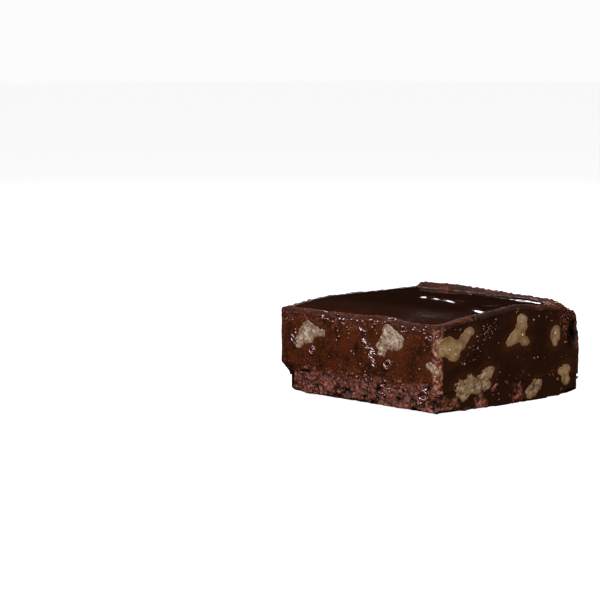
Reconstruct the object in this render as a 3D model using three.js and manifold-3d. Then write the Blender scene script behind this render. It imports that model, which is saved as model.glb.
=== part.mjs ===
// A square of chocolate fudge cut from a tray: a smooth fudge slab on a crumbly base layer, with walnut
// pieces set into its four cut sides. Millimetres, +Z up, origin at the middle of the underside.
// The front face looks along -Y and the right face along +X.
import * as THREE from "three";
import { mergeVertices } from "three/addons/utils/BufferGeometryUtils.js";
import Module from "manifold-3d";

// Driving dimensions
const WIDTH = 51;
const DEPTH = 49;
const TOP_HEIGHT = 21.6;
const BASE_HEIGHT = 5;
const LAYER_GAP = 0.3;
const NUT_GAP = 0.3;

// The cut edges: round in plan and along the top
const CORNER_RADIUS = 1;
const TOP_EDGE_RADIUS = 0.7;

// The top falls gently to the front edge and rises to a rim along the back that dies away to the right,
// and it swells or dips here and there along its edges
const FRONT_SAG = 1.5;
const FRONT_ROLL = 16;
const BACK_RISE = 1;
const BACK_REACH = 4.5;
const TOP_SWELLS = [
  { x: 7.5, y: -24.5, rise: 0.5, reach: 5.5 },
  { x: 17, y: -24.5, rise: -0.4, reach: 6 },
  { x: 25.5, y: 2.5, rise: 0.9, reach: 6 },
  { x: 25.5, y: -9, rise: -0.4, reach: 4 },
  { x: 25.5, y: 24.5, rise: -1.3, reach: 6 },
];

// The line between the layers wanders, and the crumbly base stands back from the cut
const SEAM_WAVE = 0.4;
const BASE_SETBACK = 0.3;
const BASE_WAVE = 0.4;
const FUDGE_WAVE = 0.2;

// One lower corner has crumbled away, and one top corner is torn off round
const CHIP = { x: -25.5, y: -24.5, depth: 2.4, reach: 6, rise: 3 };
const TEAR = { x: 25.5, y: 24.5, depth: 1.8, reach: 4.5 };

// Bites out of the sides: along the face, height, and how far each reaches along, into and up the face
const BITES = [
  { face: "right", along: 22.2, height: 14.2, wide: 2.2, deep: 2, tall: 2.8 },
  { face: "front", along: -17.5, height: 4.6, wide: 2.4, deep: 1, tall: 1 },
  { face: "left", along: -19, height: 6, wide: 2.1, deep: 1.1, tall: 1.5 },
];

// Walnut pieces lie half sunk, cut off just proud of the sides
const NUT_PROUD = 0.5;
const NUT_SINK = 0.45;
const NUT_WRINKLE = 0.07;

// Grid of the two layers, and how finely a limb of a nut is divided
const CELLS = 12;
const FUDGE_ROWS = 4;
const BASE_ROWS = 2;
const EDGE_CELL = 1.2;
const LIMB_DETAIL = 1;
const BITE_DETAIL = 1;

const wasm = await Module();
wasm.setup();

// A limb is a round-ended lobe of a nut: its two ends in the plane of the face, and the radius at each end
const limb = (fromX, fromZ, toX, toZ, fromRadius, toRadius) => ({
  from: new THREE.Vector3(fromX, 0, fromZ),
  to: new THREE.Vector3(toX, 0, toZ),
  fromRadius,
  toRadius,
});

const NUT_SHAPES = {
  heel: [limb(-3, -2, -0.3, 1, 1.5, 1.9), limb(0.4, 1.1, 4.8, 0.9, 1.5, 0.9)],
  tooth: [
    limb(-0.3, 0.3, 1.6, -0.2, 2.5, 2.4),
    limb(-0.9, 1.4, -0.8, 2.1, 1.4, 0.9),
    limb(-1.2, -0.9, -3, -3.2, 1.6, 1),
  ],
  sliver: [limb(-0.6, 0.9, 0.6, -1.1, 1, 0.9)],
  boot: [limb(-4.4, -0.2, -1, -0.3, 2.4, 2.4), limb(0, 0.3, 4, 3.1, 1.9, 1.3)],
  crest: [
    limb(-4.7, -0.6, -0.4, -0.2, 2.1, 1.7),
    limb(0.4, 0, 4.4, 1.4, 1.7, 2.3),
    limb(-4.4, -1.4, -4, -2.6, 1.5, 1.2),
  ],
  fork: [
    limb(0, 3, 0.1, 0, 1.45, 1.7),
    limb(-0.2, -0.2, -3.4, -1.8, 1.6, 1.2),
    limb(0.4, -0.3, 1.4, -1.9, 1.6, 1.2),
  ],
  bean: [limb(0.2, 1.1, -0.3, -1.2, 1.7, 1.2)],
  knuckle: [limb(-1.4, -0.8, 1.5, 1, 1.5, 1.5)],
  thumb: [limb(-0.1, 0.9, 0.3, -1, 1.8, 1.5)],
};

// Each side's turn about Z from the front, and how far it is from the middle
const FACES = {
  front: { turn: 0, reach: DEPTH / 2 },
  right: { turn: Math.PI / 2, reach: WIDTH / 2 },
  back: { turn: Math.PI, reach: DEPTH / 2 },
  left: { turn: -Math.PI / 2, reach: WIDTH / 2 },
};

// Where each nut shows: along its face from the middle, its height, and its roll in the face in degrees
const NUTS = [
  { name: "walnut_front_heel", shape: "heel", face: "front", along: -16, height: 14.6, roll: 0 },
  { name: "walnut_front_tooth", shape: "tooth", face: "front", along: 11.2, height: 15.6, roll: 0 },
  { name: "walnut_front_sliver", shape: "sliver", face: "front", along: 23.9, height: 10.1, roll: 0 },
  { name: "walnut_right_boot", shape: "boot", face: "right", along: -17.8, height: 14.3, roll: 0 },
  { name: "walnut_right_crest", shape: "crest", face: "right", along: -12, height: 5.9, roll: 0 },
  { name: "walnut_right_fork", shape: "fork", face: "right", along: 3.5, height: 15.7, roll: 0 },
  { name: "walnut_right_bean", shape: "bean", face: "right", along: 15.9, height: 14.2, roll: 0 },
  { name: "walnut_right_knuckle", shape: "knuckle", face: "right", along: 7.4, height: 2.8, roll: 0 },
  { name: "walnut_right_thumb", shape: "thumb", face: "right", along: 19.7, height: 4.7, roll: 0 },
  { name: "walnut_back_tooth", shape: "tooth", face: "back", along: -16, height: 12.5, roll: 150 },
  { name: "walnut_back_crest", shape: "crest", face: "back", along: 3.5, height: 13.6, roll: -35 },
  { name: "walnut_back_bean", shape: "bean", face: "back", along: 17.5, height: 14.6, roll: 70 },
  { name: "walnut_back_heel", shape: "heel", face: "back", along: 13, height: 6, roll: 165 },
  { name: "walnut_left_fork", shape: "fork", face: "left", along: -14.5, height: 11, roll: 120 },
  { name: "walnut_left_thumb", shape: "thumb", face: "left", along: -2, height: 15.6, roll: 40 },
  { name: "walnut_left_boot", shape: "boot", face: "left", along: 11.5, height: 12.6, roll: 195 },
  { name: "walnut_left_knuckle", shape: "knuckle", face: "left", along: 3, height: 5.4, roll: 80 },
];

// Finishes read from the piece: dark glossy fudge, matte red-brown crumb, pale nut flesh
const FUDGE_FINISH = new THREE.MeshStandardMaterial({ color: 0x40200f, roughness: 0.35, metalness: 0 });
const CRUMB_FINISH = new THREE.MeshStandardMaterial({ color: 0x552e21, roughness: 0.85, metalness: 0 });
const NUT_FINISH = new THREE.MeshStandardMaterial({ color: 0x9c8058, roughness: 0.55, metalness: 0 });

// Closed solid of a three.js geometry: only positions count, shared vertices merge, collapsed faces drop out
function solidOf(geometry) {
  const bare = new THREE.BufferGeometry();
  bare.setAttribute("position", geometry.getAttribute("position"));
  bare.setIndex(geometry.getIndex());
  const merged = mergeVertices(bare, 1e-4);
  const kept = [];
  const index = merged.getIndex().array;
  for (let i = 0; i < index.length; i += 3) {
    const [a, b, c] = index.slice(i, i + 3);
    if (a !== b && b !== c && c !== a) kept.push(a, b, c);
  }
  const vertProperties = new Float32Array(merged.getAttribute("position").array);
  return new wasm.Manifold(new wasm.Mesh({ numProp: 3, vertProperties, triVerts: new Uint32Array(kept) }));
}

// A solid back as a three.js geometry, with normals for drawing
function geometryOf(solid) {
  const { numProp, numVert, vertProperties, triVerts } = solid.getMesh();
  const positions = new Float32Array(numVert * 3);
  for (let i = 0; i < numVert; i++) {
    positions.set(vertProperties.subarray(i * numProp, i * numProp + 3), i * 3);
  }
  const geometry = new THREE.BufferGeometry();
  geometry.setAttribute("position", new THREE.BufferAttribute(positions, 3));
  geometry.setIndex(new THREE.BufferAttribute(triVerts, 1));
  geometry.computeVertexNormals();
  return geometry;
}

// Moves every vertex of a geometry to the point that a function gives for it
function reshape(geometry, pointOf) {
  const positions = geometry.getAttribute("position");
  const point = new THREE.Vector3();
  for (let i = 0; i < positions.count; i++) {
    const moved = pointOf(point.fromBufferAttribute(positions, i));
    positions.setXYZ(i, moved.x, moved.y, moved.z);
  }
  return geometry;
}

// Height of the glossy top over a point in plan
function topHeight(x, y) {
  const { smoothstep } = THREE.MathUtils;
  const roll = 1 - smoothstep(y, -DEPTH / 2, -DEPTH / 2 + FRONT_ROLL);
  const rim = smoothstep(-x, -18, 12) * smoothstep(y, DEPTH / 2 - BACK_REACH, DEPTH / 2 - 1.3);
  const swell = TOP_SWELLS.reduce(
    (sum, s) => sum + s.rise * Math.exp(-((x - s.x) ** 2 + (y - s.y) ** 2) / s.reach ** 2),
    0,
  );
  return TOP_HEIGHT - FRONT_SAG * roll + BACK_RISE * rim + swell;
}

// Height of the line between crumb and fudge
function seamHeight(x, y) {
  return BASE_HEIGHT + SEAM_WAVE * (Math.sin(0.33 * x + 0.6) + Math.sin(0.41 * y + 1.9));
}

// How far the top falls away at a distance from the cut edge, as a quarter circle
function edgeDrop(distance) {
  const left = Math.max(TOP_EDGE_RADIUS - distance, 0);
  return TOP_EDGE_RADIUS - Math.sqrt(TOP_EDGE_RADIUS ** 2 - left ** 2);
}

// Places a grid line from -1 to 1 along a side, with a narrow cell at each end
function gridLine(u, halfSide) {
  const inner = 1 - 2 / CELLS;
  const size = Math.abs(u);
  const near = (size / inner) * (halfSide - EDGE_CELL);
  const far = halfSide - (EDGE_CELL * (1 - size)) / (1 - inner);
  return Math.sign(u) * (size <= inner ? near : far);
}

// A layer of the square between a floor and a roof, with round plan corners and a wavy cut side
function layerGeometry(rows, floorAt, roofAt, sideShift) {
  const halfWidth = WIDTH / 2;
  const halfDepth = DEPTH / 2;
  return reshape(new THREE.BoxGeometry(2, 2, 2, CELLS, CELLS, rows), (p) => {
    let x = gridLine(p.x, halfWidth);
    let y = gridLine(p.y, halfDepth);
    const edge = Math.min(halfWidth - Math.abs(x), halfDepth - Math.abs(y));
    const overX = Math.max(Math.abs(x) - (halfWidth - CORNER_RADIUS), 0);
    const overY = Math.max(Math.abs(y) - (halfDepth - CORNER_RADIUS), 0);
    if (overX > 0 && overY > 0) {
      const pull = Math.max(overX, overY) / Math.hypot(overX, overY);
      x = Math.sign(x) * (halfWidth - CORNER_RADIUS + overX * pull);
      y = Math.sign(y) * (halfDepth - CORNER_RADIUS + overY * pull);
    }
    const floor = floorAt(x, y);
    const z = floor + ((p.z + 1) / 2) * (roofAt(x, y, edge) - floor);
    const shift = sideShift(x, y, z);
    return new THREE.Vector3(x * (1 + shift / halfWidth), y * (1 + shift / halfDepth), z);
  });
}

// How far the crumbled corner falls in, whatever the height
function chipDepth(x, y) {
  return CHIP.depth * Math.exp(-((x - CHIP.x) ** 2 + (y - CHIP.y) ** 2) / CHIP.reach ** 2);
}

// How far the torn top corner falls in
function tearDepth(x, y, z) {
  const away = (x - TEAR.x) ** 2 + (y - TEAR.y) ** 2 + (z - TOP_HEIGHT) ** 2;
  return TEAR.depth * Math.exp(-away / TEAR.reach ** 2);
}

function fudgeGeometry() {
  return layerGeometry(
    FUDGE_ROWS,
    (x, y) => seamHeight(x, y) + LAYER_GAP / 2,
    (x, y, edge) => topHeight(x, y) - edgeDrop(edge),
    (x, y, z) => {
      const low = 1 - THREE.MathUtils.smoothstep(z - seamHeight(x, y), 0, CHIP.rise);
      const wave = FUDGE_WAVE * Math.sin(0.37 * x + 0.29 * y + 0.4 * z);
      return wave - low * chipDepth(x, y) - tearDepth(x, y, z);
    },
  );
}

function crumbGeometry() {
  return layerGeometry(
    BASE_ROWS,
    () => 0,
    (x, y) => seamHeight(x, y) - LAYER_GAP / 2,
    (x, y, z) => BASE_WAVE * Math.sin(0.8 * x - 0.7 * y + 0.9 * z) - BASE_SETBACK - chipDepth(x, y),
  );
}

// A limb as a ball drawn out between its two ends, wrinkled like a kernel, and grown all round by a margin
function limbSolid({ from, to, fromRadius, toRadius }, grow) {
  const axis = to.clone().sub(from).normalize();
  return solidOf(
    reshape(new THREE.IcosahedronGeometry(1, LIMB_DETAIL), (p) => {
      const share = THREE.MathUtils.smoothstep(p.dot(axis), -0.5, 0.5);
      const radius = THREE.MathUtils.lerp(fromRadius, toRadius, share);
      const wrinkle = Math.sin(4 * p.x + 2 * p.y) + Math.cos(5 * p.z - 3 * p.x);
      const reach = radius * (1 + NUT_WRINKLE * wrinkle) + grow;
      return from.clone().lerp(to, share).addScaledVector(p, reach);
    }),
  );
}

// A frame on a face: X along it, Y into the fudge, Z up, rolled in the plane of the face
function facePlace({ face, along, height, roll = 0 }) {
  const side = FACES[face];
  const turn = new THREE.Matrix4().makeRotationZ(side.turn);
  const onFace = new THREE.Matrix4().makeTranslation(along, -side.reach, height);
  const rolled = new THREE.Matrix4().makeRotationY(THREE.MathUtils.degToRad(-roll));
  return turn.multiply(onFace).multiply(rolled);
}

// All the limbs of a nut joined, sunk below the face, at its place in the square
function nutSolid(nut, grow) {
  const limbs = NUT_SHAPES[nut.shape].map((one) => {
    const depth = NUT_SINK * Math.max(one.fromRadius, one.toRadius);
    const sunk = { ...one, from: one.from.clone().setY(depth), to: one.to.clone().setY(depth) };
    return limbSolid(sunk, grow);
  });
  const joined = limbs.reduce((whole, one) => whole.add(one));
  return solidOf(geometryOf(joined).applyMatrix4(facePlace(nut)));
}

// A bite to take out of a side: a squashed ball on the face
function biteSolid(bite) {
  const ball = new THREE.IcosahedronGeometry(1, BITE_DETAIL).scale(bite.wide, bite.deep, bite.tall);
  return solidOf(ball.applyMatrix4(facePlace(bite)));
}

// The knife's four cuts, just proud of the sides: no nut reaches past them
function cutEnvelope() {
  const tall = 4 * TOP_HEIGHT;
  return solidOf(new THREE.BoxGeometry(WIDTH + 2 * NUT_PROUD, DEPTH + 2 * NUT_PROUD, tall));
}

function named(name, geometry, finish) {
  const mesh = new THREE.Mesh(geometry, finish);
  mesh.name = name;
  return mesh;
}

const envelope = cutEnvelope();
const hollows = [...NUTS.map((nut) => nutSolid(nut, NUT_GAP)), ...BITES.map(biteSolid)];
const pockets = hollows.reduce((whole, one) => whole.add(one));

const walnuts = new THREE.Group();
for (const nut of NUTS) {
  const place = facePlace(nut);
  const trimmed = geometryOf(nutSolid(nut, 0).intersect(envelope));
  const mesh = named(nut.name, trimmed.applyMatrix4(place.clone().invert()), NUT_FINISH);
  mesh.applyMatrix4(place);
  walnuts.add(mesh);
}

const layers = new THREE.Group();
layers.add(named("fudge_slab", geometryOf(solidOf(fudgeGeometry()).subtract(pockets)), FUDGE_FINISH));
layers.add(named("crumb_base", geometryOf(solidOf(crumbGeometry()).subtract(pockets)), CRUMB_FINISH));

const fudgeSquare = new THREE.Group();
fudgeSquare.add(layers, walnuts);

export default fudgeSquare;
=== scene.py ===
"""A cut square of chocolate fudge: a glossy slab on a crumbly base, with walnut pieces in its cut sides.

Lengths are millimetres in the shape functions and metres in the finished meshes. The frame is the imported
model's: +Z up, the origin under the middle of the piece, the front cut face towards -Y and the right one
towards +X.
"""

import itertools
import math

import bpy
import numpy as np
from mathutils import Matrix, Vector


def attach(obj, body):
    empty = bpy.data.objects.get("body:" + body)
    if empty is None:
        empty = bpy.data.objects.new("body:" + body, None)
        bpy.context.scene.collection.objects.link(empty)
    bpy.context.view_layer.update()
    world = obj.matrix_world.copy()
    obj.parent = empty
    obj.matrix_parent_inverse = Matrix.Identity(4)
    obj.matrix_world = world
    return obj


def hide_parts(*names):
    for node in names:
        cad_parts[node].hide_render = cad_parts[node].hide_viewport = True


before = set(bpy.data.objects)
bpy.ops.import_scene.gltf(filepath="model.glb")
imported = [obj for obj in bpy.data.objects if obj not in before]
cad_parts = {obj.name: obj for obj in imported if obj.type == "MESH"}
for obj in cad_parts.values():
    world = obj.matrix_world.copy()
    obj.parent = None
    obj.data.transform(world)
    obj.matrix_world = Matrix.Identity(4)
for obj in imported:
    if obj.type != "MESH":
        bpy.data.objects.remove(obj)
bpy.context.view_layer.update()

MM = 0.001
TINY = 1e-9

# Sizes of the square
WIDTH = 51.0
DEPTH = 49.0
TOP_HEIGHT = 21.6
BASE_HEIGHT = 5.0
EDGE_RADIUS = 0.7
BASE_CORNER_RADIUS = 1.6
SEAM_OVERLAP = 0.25

FUDGE_CELLS = (168, 162, 56)
BASE_CELLS = (190, 182, 20)
NUT_PITCH = 0.17

# Flat hidden caps: share of the height that counts as a cap, and how much its middle is drawn in
CAP_MARGIN = 1e-6
CAP_SQUEEZE = 0.14

# Fallen corners, the lower left one and the far top one: how far each goes in and how far it reaches
CHIP_DEPTH = 2.4
CHIP_REACH = 6.0
CORNER_DEPTH = 1.8
CORNER_REACH = 4.5
TORN_CORNER = np.array([WIDTH / 2, DEPTH / 2, TOP_HEIGHT])

# Glossy top: roll along the front edge, raised rim along the back, then swells as x, y, rise, reach
FRONT_SAG = 1.5
FRONT_ROLL = 16.0
BACK_RISE = 1.0
BACK_REACH = 3.4
TOP_SWELLS = (
    (7.5, -24.5, 0.5, 5.5),
    (17.0, -24.5, -0.4, 6.0),
    (25.5, 2.5, 0.9, 6.0),
    (25.5, -9.0, -0.4, 4.0),
    (25.5, 24.5, -1.3, 6.0),
)

# Low ridges left by the spatula: from x, y to x, y, then height and half width
TOP_RIDGES = (
    (-7.3, 3.6, 7.5, 0.9, 0.44, 1.0),
    (19.0, -6.3, 27.0, -7.8, 0.31, 1.1),
    (6.0, 16.0, 23.0, 13.9, 0.36, 0.75),
)

# Sides of the square: turn about Z from the front face, and distance from the middle
FACES = {
    "front": (0.0, DEPTH / 2),
    "right": (math.pi / 2, WIDTH / 2),
    "back": (math.pi, DEPTH / 2),
    "left": (-math.pi / 2, WIDTH / 2),
}

# Side lengths, the two darker sides, whose darkness is painted shade, and how deep a side's own skin and its
# band of bits reach behind it
FACE_LENGTHS = {"front": WIDTH, "right": DEPTH, "back": WIDTH, "left": DEPTH}
DARK_SIDES = ("right", "left")
FACE_SKIN = 1.5
FACE_BAND = 3.0

# Lobes of each nut shape: place along the face, height and half height; each is wider than tall by LOBE_WIDTH
LOBE_WIDTH = 1.45
NUT_SHAPES = {
    "heel": (
        (-2.7, -1.9, 1.15), (-3.0, -3.1, 0.62), (-0.3, 0.2, 1.59), (0.0, 1.9, 0.82), (2.2, 0.9, 1.0),
        (4.6, 0.5, 0.62), (0.3, -1.3, 0.8), (-1.6, -0.8, 0.95),
    ),
    "tooth": (
        (-0.1, 0.1, 1.88), (-1.2, 2.1, 1.06), (2.5, 0.1, 1.15), (1.5, -1.3, 0.87), (-2.9, -1.8, 1.06),
        (-3.3, -3.4, 0.6), (-2.1, -0.5, 0.9),
    ),
    "sliver": ((-0.9, 0.9, 0.5), (-0.1, 0.1, 0.6), (0.6, -0.8, 0.45)),
    "boot": (
        (-3.6, 0.7, 2.1), (-6.2, -0.2, 1.2), (-1.5, -1.5, 1.15), (0.3, 0.8, 1.15), (1.9, 2.2, 1.03),
        (3.5, 3.5, 1.01),
    ),
    "crest": (
        (-5.1, 0.1, 1.2), (-4.4, -1.4, 1.06), (-4.0, -2.5, 0.87), (-1.9, 1.6, 0.58), (-1.5, 0.1, 1.11),
        (-2.4, -1.1, 1.01), (0.3, -0.4, 1.25), (0.7, -1.8, 0.62), (2.7, 0.9, 1.3), (3.7, -0.6, 0.91),
        (4.6, 2.5, 1.15),
    ),
    "fork": (
        (0.0, 3.5, 1.08), (0.1, 1.9, 1.06), (-0.8, 0.5, 1.3), (-2.5, -0.7, 1.11), (-4.0, -1.6, 0.87),
        (1.2, -1.8, 1.06),
    ),
    "bean": ((-0.3, 1.4, 1.13), (-0.5, -0.2, 1.03), (-0.6, -1.6, 0.67)),
    "knuckle": ((1.9, 1.0, 1.06), (0.7, 0.0, 1.01), (-0.6, -0.9, 1.25)),
    "thumb": ((-0.3, 1.3, 1.25), (-2.3, 1.1, 0.62), (-0.3, -1.2, 1.03)),
}

# Join of the lobes: its sharpness, and the distance from which a lobe counts as far
LOBE_JOIN = 2.4
FAR_LOBE = 20.0

# Nut nodes: shape, face, place along the face, height, roll in degrees
NUTS = {
    "walnut_front_heel": ("heel", "front", -16.0, 14.6, 0),
    "walnut_front_tooth": ("tooth", "front", 11.2, 15.6, 0),
    "walnut_front_sliver": ("sliver", "front", 23.9, 10.1, 0),
    "walnut_right_boot": ("boot", "right", -17.8, 14.3, 0),
    "walnut_right_crest": ("crest", "right", -12.0, 5.9, 0),
    "walnut_right_fork": ("fork", "right", 3.5, 15.7, 0),
    "walnut_right_bean": ("bean", "right", 15.9, 14.2, 0),
    "walnut_right_knuckle": ("knuckle", "right", 7.4, 2.8, 0),
    "walnut_right_thumb": ("thumb", "right", 19.7, 4.7, 0),
    "walnut_back_tooth": ("tooth", "back", -16.0, 12.5, 150),
    "walnut_back_crest": ("crest", "back", 3.5, 13.6, -35),
    "walnut_back_bean": ("bean", "back", 17.5, 14.6, 70),
    "walnut_back_heel": ("heel", "back", 13.0, 6.0, 165),
    "walnut_left_fork": ("fork", "left", -14.5, 11.0, 120),
    "walnut_left_thumb": ("thumb", "left", -2.0, 15.6, 40),
    "walnut_left_boot": ("boot", "left", 11.5, 12.6, 195),
    "walnut_left_knuckle": ("knuckle", "left", 3.0, 5.4, 80),
}

# Nut shapes that the knife left grained, and those with pits as well
GRAINY = ("heel", "tooth", "crest", "knuckle", "sliver")
PITTED = ("crest", "knuckle")

# Nuts against the cut side: level of their middle and border, depth behind it, and the bed in the fudge
NUT_PROUD = 0.1
NUT_EDGE = -0.5
NUT_DEPTH = 2.0
NUT_BED = 0.8

# Nut outlines: growth past the lobes, half the grid's side, pulls onto the outline, slope step, corner gap
NUT_SPREAD = 0.53
NUT_REACH = 9.0
BORDER_PULLS = 3
SLOPE_STEP = 0.04
NUT_INSET = 0.15

# Burst bubbles in the cut sides: face, place along it, height, radius
BUBBLES = (
    ("front", -14.4, 10.6, 0.75),
    ("front", 10.2, 9.7, 0.85),
    ("front", 21.2, 4.0, 1.0),
    ("front", -2.3, 16.1, 0.5),
    ("front", 23.1, 16.9, 0.5),
    ("right", -8.6, 16.8, 0.5),
    ("right", -12.9, 13.2, 0.5),
    ("back", -6.0, 9.0, 0.8),
    ("back", 10.0, 15.0, 0.6),
    ("left", 4.0, 11.0, 0.8),
    ("left", -8.0, 15.5, 0.6),
)

# Torn, wet-looking scars: face, from along and height, to along and height, half width
TEARS = (
    ("front", 2.4, 14.4, 5.8, 11.6, 0.6),
    ("front", 3.9, 11.6, 5.8, 9.4, 0.6),
    ("front", 1.4, 17.0, 2.6, 16.4, 0.4),
    ("front", -20.9, 13.4, -20.4, 11.4, 0.5),
    ("back", -3.0, 6.0, -6.0, 12.0, 0.7),
    ("left", 14.0, 6.0, 17.0, 10.0, 0.7),
)

# Beads of oil on the smooth nuts: face, place along it, height; then their lean, size and flattening
OIL_BEADS = (
    ("right", 3.4, 18.5),
    ("right", 3.7, 15.6),
    ("right", -20.8, 14.4),
    ("right", -18.9, 13.1),
    ("right", -23.6, 14.7),
    ("right", 15.3, 15.0),
    ("left", -2.2, 16.2),
    ("left", 12.5, 12.4),
    ("left", -14.0, 12.0),
)
OIL_LEAN = 0.36
OIL_RADIUS = 0.34
OIL_STRETCH = -0.6

# Bites out of the sides: face, place along it, height, reach along, reach in height, depth
BITES = (
    ("right", 22.2, 14.2, 2.3, 3.0, 2.4),
    ("front", -17.5, 4.6, 2.6, 1.1, 1.1),
    ("left", -19.0, 6.0, 2.2, 1.6, 1.2),
)

# Clusters of wet specks: face, place along it, height, spread, count
SPECKS = (
    ("front", -4.0, 17.5, 1.6, 16),
    ("front", 4.4, 12.2, 1.2, 16),
    ("front", -20.0, 12.5, 1.2, 14),
    ("front", 12.6, 12.8, 1.0, 10),
    ("front", 21.5, 17.2, 1.6, 22),
    ("front", -12.5, 15.0, 1.0, 8),
    ("front", 21.2, 4.0, 1.0, 18),
    ("front", 10.4, 4.6, 1.4, 14),
    ("front", 3.0, 6.2, 1.2, 10),
    ("right", -8.0, 17.4, 1.5, 42),
    ("right", -12.6, 13.4, 1.5, 32),
    ("right", -17.0, 12.0, 1.0, 16),
    ("right", -4.6, 6.4, 1.4, 14),
    ("right", 4.1, 6.7, 1.4, 10),
    ("right", 20.3, 18.4, 1.4, 30),
    ("back", 14.0, 10.0, 1.4, 18),
    ("back", -10.0, 16.0, 1.4, 18),
    ("left", 0.0, 9.0, 1.4, 14),
    ("left", -19.0, 15.0, 1.4, 14),
)

# Bunches of reddish crumbs on the darker sides: face, place along it, height, spread, count
CRUMB_CLUSTERS = (
    ("right", 19.4, 14.4, 0.7, 14),
    ("right", 20.4, 12.8, 0.5, 8),
    ("right", -5.9, 4.3, 0.7, 12),
    ("right", 2.1, 1.6, 0.8, 16),
    ("right", 16.4, 3.9, 0.6, 10),
    ("left", 17.0, 13.0, 0.7, 12),
    ("left", -4.0, 4.0, 0.8, 12),
)

# Reddish crumb showing at the foot of the two darker sides: face, place along it, half width
CRUMB_PATCHES = (
    ("right", -10.3, 3.0),
    ("right", 2.4, 1.8),
    ("right", -21.5, 4.0),
    ("left", -12.0, 3.0),
    ("left", 9.0, 2.6),
)

# Specks over the rims and the rest of each cut side: face, count in the rim, count elsewhere
SIDE_SPECKS = (("front", 80, 70), ("back", 80, 70), ("right", 40, 60), ("left", 40, 60))

# Counts of the other small bits, cells along each lump's edge, how deep specks sink, and their random seeds
BACK_SPECKS = 60
CORNER_SPECKS = 190
BAND_CRUMBS = 900
SEAM_CRUMBS = 400
BUBBLE_BEADS = 8
LUMP_CELLS = 3
SPECK_SINK = 0.16
CRUMB_SEED = 3
SPECK_SEED = 8
SCRAP_SEED = 9

# Camera: angles in degrees, distance in metres; then the frame's side, focal length and origin in pixels
CAMERA_AZIMUTH = 43.16
CAMERA_ELEVATION = 8.91
CAMERA_DISTANCE = 0.5
FRAME_PIXELS = 600
FOCAL_PIXELS = 2105.0
ORIGIN_PIXEL = (430.0, 390.2)
SENSOR_MM = 36.0

# Soft lights: azimuth and elevation in degrees, distance, width and height in metres, power, colour
LIGHTS = {
    "key": (12, 38, 0.6, 0.3, 0.3, 3.62, (1.0, 0.98, 0.97)),
    "fill": (85, 30, 0.6, 0.16, 0.16, 2.0, (1.0, 1.0, 1.0)),
    "spark": (-25, 28, 0.6, 0.28, 0.28, 4.8, (0.97, 0.9, 1.0)),
    "back": (222, 31, 0.6, 0.24, 0.04, 0.55, (0.93, 0.9, 1.0)),
    "rear": (225, 45, 0.7, 0.3, 0.3, 2.6, (1.0, 1.0, 1.0)),
}
ONLY_REFLECTED = ("spark",)
NEVER_REFLECTED = ("rear",)
LIGHT_AIM = Vector((0.0, 0.0, 0.01))

# Half the floor's side, in metres
FLOOR_HALF = 6.0


def hashed(cells, seed):
    """A fixed random number from 0 to 1 for each integer cell, its indices mixed by large odd numbers."""
    c = cells.astype(np.int64)
    mixed = (c[..., 0] * 73856093) ^ (c[..., 1] * 19349663) ^ (c[..., 2] * 83492791) ^ (seed * 2654435761)
    mixed = (mixed ^ (mixed >> 13)) * 1274126177
    mixed = mixed ^ (mixed >> 16)
    return (mixed & 0xFFFFFF) / float(0x1000000)


def ramp(value, low, high):
    """Smooth step from 0 at low to 1 at high; low may be the larger."""
    t = np.clip((value - low) / (high - low), 0.0, 1.0)
    return t * t * (3.0 - 2.0 * t)


def hills(points, size, seed):
    """Random hills from -1 to 1: random values at lattice corners `size` apart, smoothly blended."""
    scaled = points / size
    cell = np.floor(scaled)
    t = scaled - cell
    t = t * t * (3.0 - 2.0 * t)
    total = np.zeros(len(points))
    for corner in itertools.product((0, 1), repeat=3):
        weight = np.prod(np.where(corner, t, 1.0 - t), axis=1)
        total += weight * hashed(cell + np.array(corner), seed)
    return 2.0 * total - 1.0


def billows(points, size, seed, octaves=3):
    """Rounded clumps with creases between them, about -1 to 1: hills folded up at zero, each octave half
    the size and about half the weight of the last."""
    total = np.zeros(len(points))
    for k in range(octaves):
        total += 0.55**k * (2.6 * np.abs(hills(points, size / 2**k, seed + k)) - 1.0)
    return total / sum(0.55**k for k in range(octaves))


def crumble(points):
    """Height of broken crumb, clumps on clumps with a few deep holes, and how deep in a hole each point lies,
    which the colour shows as painted shade.
    """
    clumps = billows(points, 2.0, 43)
    hole = ramp(hills(points, 2.2, 49) + 0.35 * hills(points, 0.9, 50), 0.32, 0.72)
    hollow_shade = np.maximum(hole, ramp(clumps, -0.3, -0.75))
    return 0.42 * clumps - 0.7 * hole, hollow_shade


def box_skin(cells):
    """The surface of a unit cube as one closed grid: places from 0 to 1, and faces looking out."""
    counts = np.array(cells)
    quads = []
    for axis in range(3):
        across, along = (axis + 1) % 3, (axis + 2) % 3
        i, j = np.meshgrid(np.arange(counts[across]), np.arange(counts[along]), indexing="ij")
        for end in (0, 1):
            corner = np.zeros(i.shape + (4, 3), int)
            corner[..., axis] = counts[axis] * end
            corner[..., across] = i[..., None] + np.array([0, 1, 1, 0])
            corner[..., along] = j[..., None] + np.array([0, 0, 1, 1])
            flat = corner.reshape(-1, 4, 3)
            quads.append(flat if end else flat[:, ::-1])
    stride = np.array([1, counts[0] + 1, (counts[0] + 1) * (counts[1] + 1)])
    keys, faces = np.unique(np.concatenate(quads) @ stride, return_inverse=True)
    lattice = np.stack([keys % stride[1], keys // stride[1] % (counts[1] + 1), keys // stride[2]], axis=1)
    return lattice / counts, faces.reshape(-1, 4)


def to_face(points, face):
    """Place along a face, distance out of it, and height, of points in the square."""
    turn, reach = FACES[face]
    along = points[:, 0] * math.cos(turn) + points[:, 1] * math.sin(turn)
    out = points[:, 0] * math.sin(turn) - points[:, 1] * math.cos(turn) - reach
    return along, out, points[:, 2]


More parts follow.
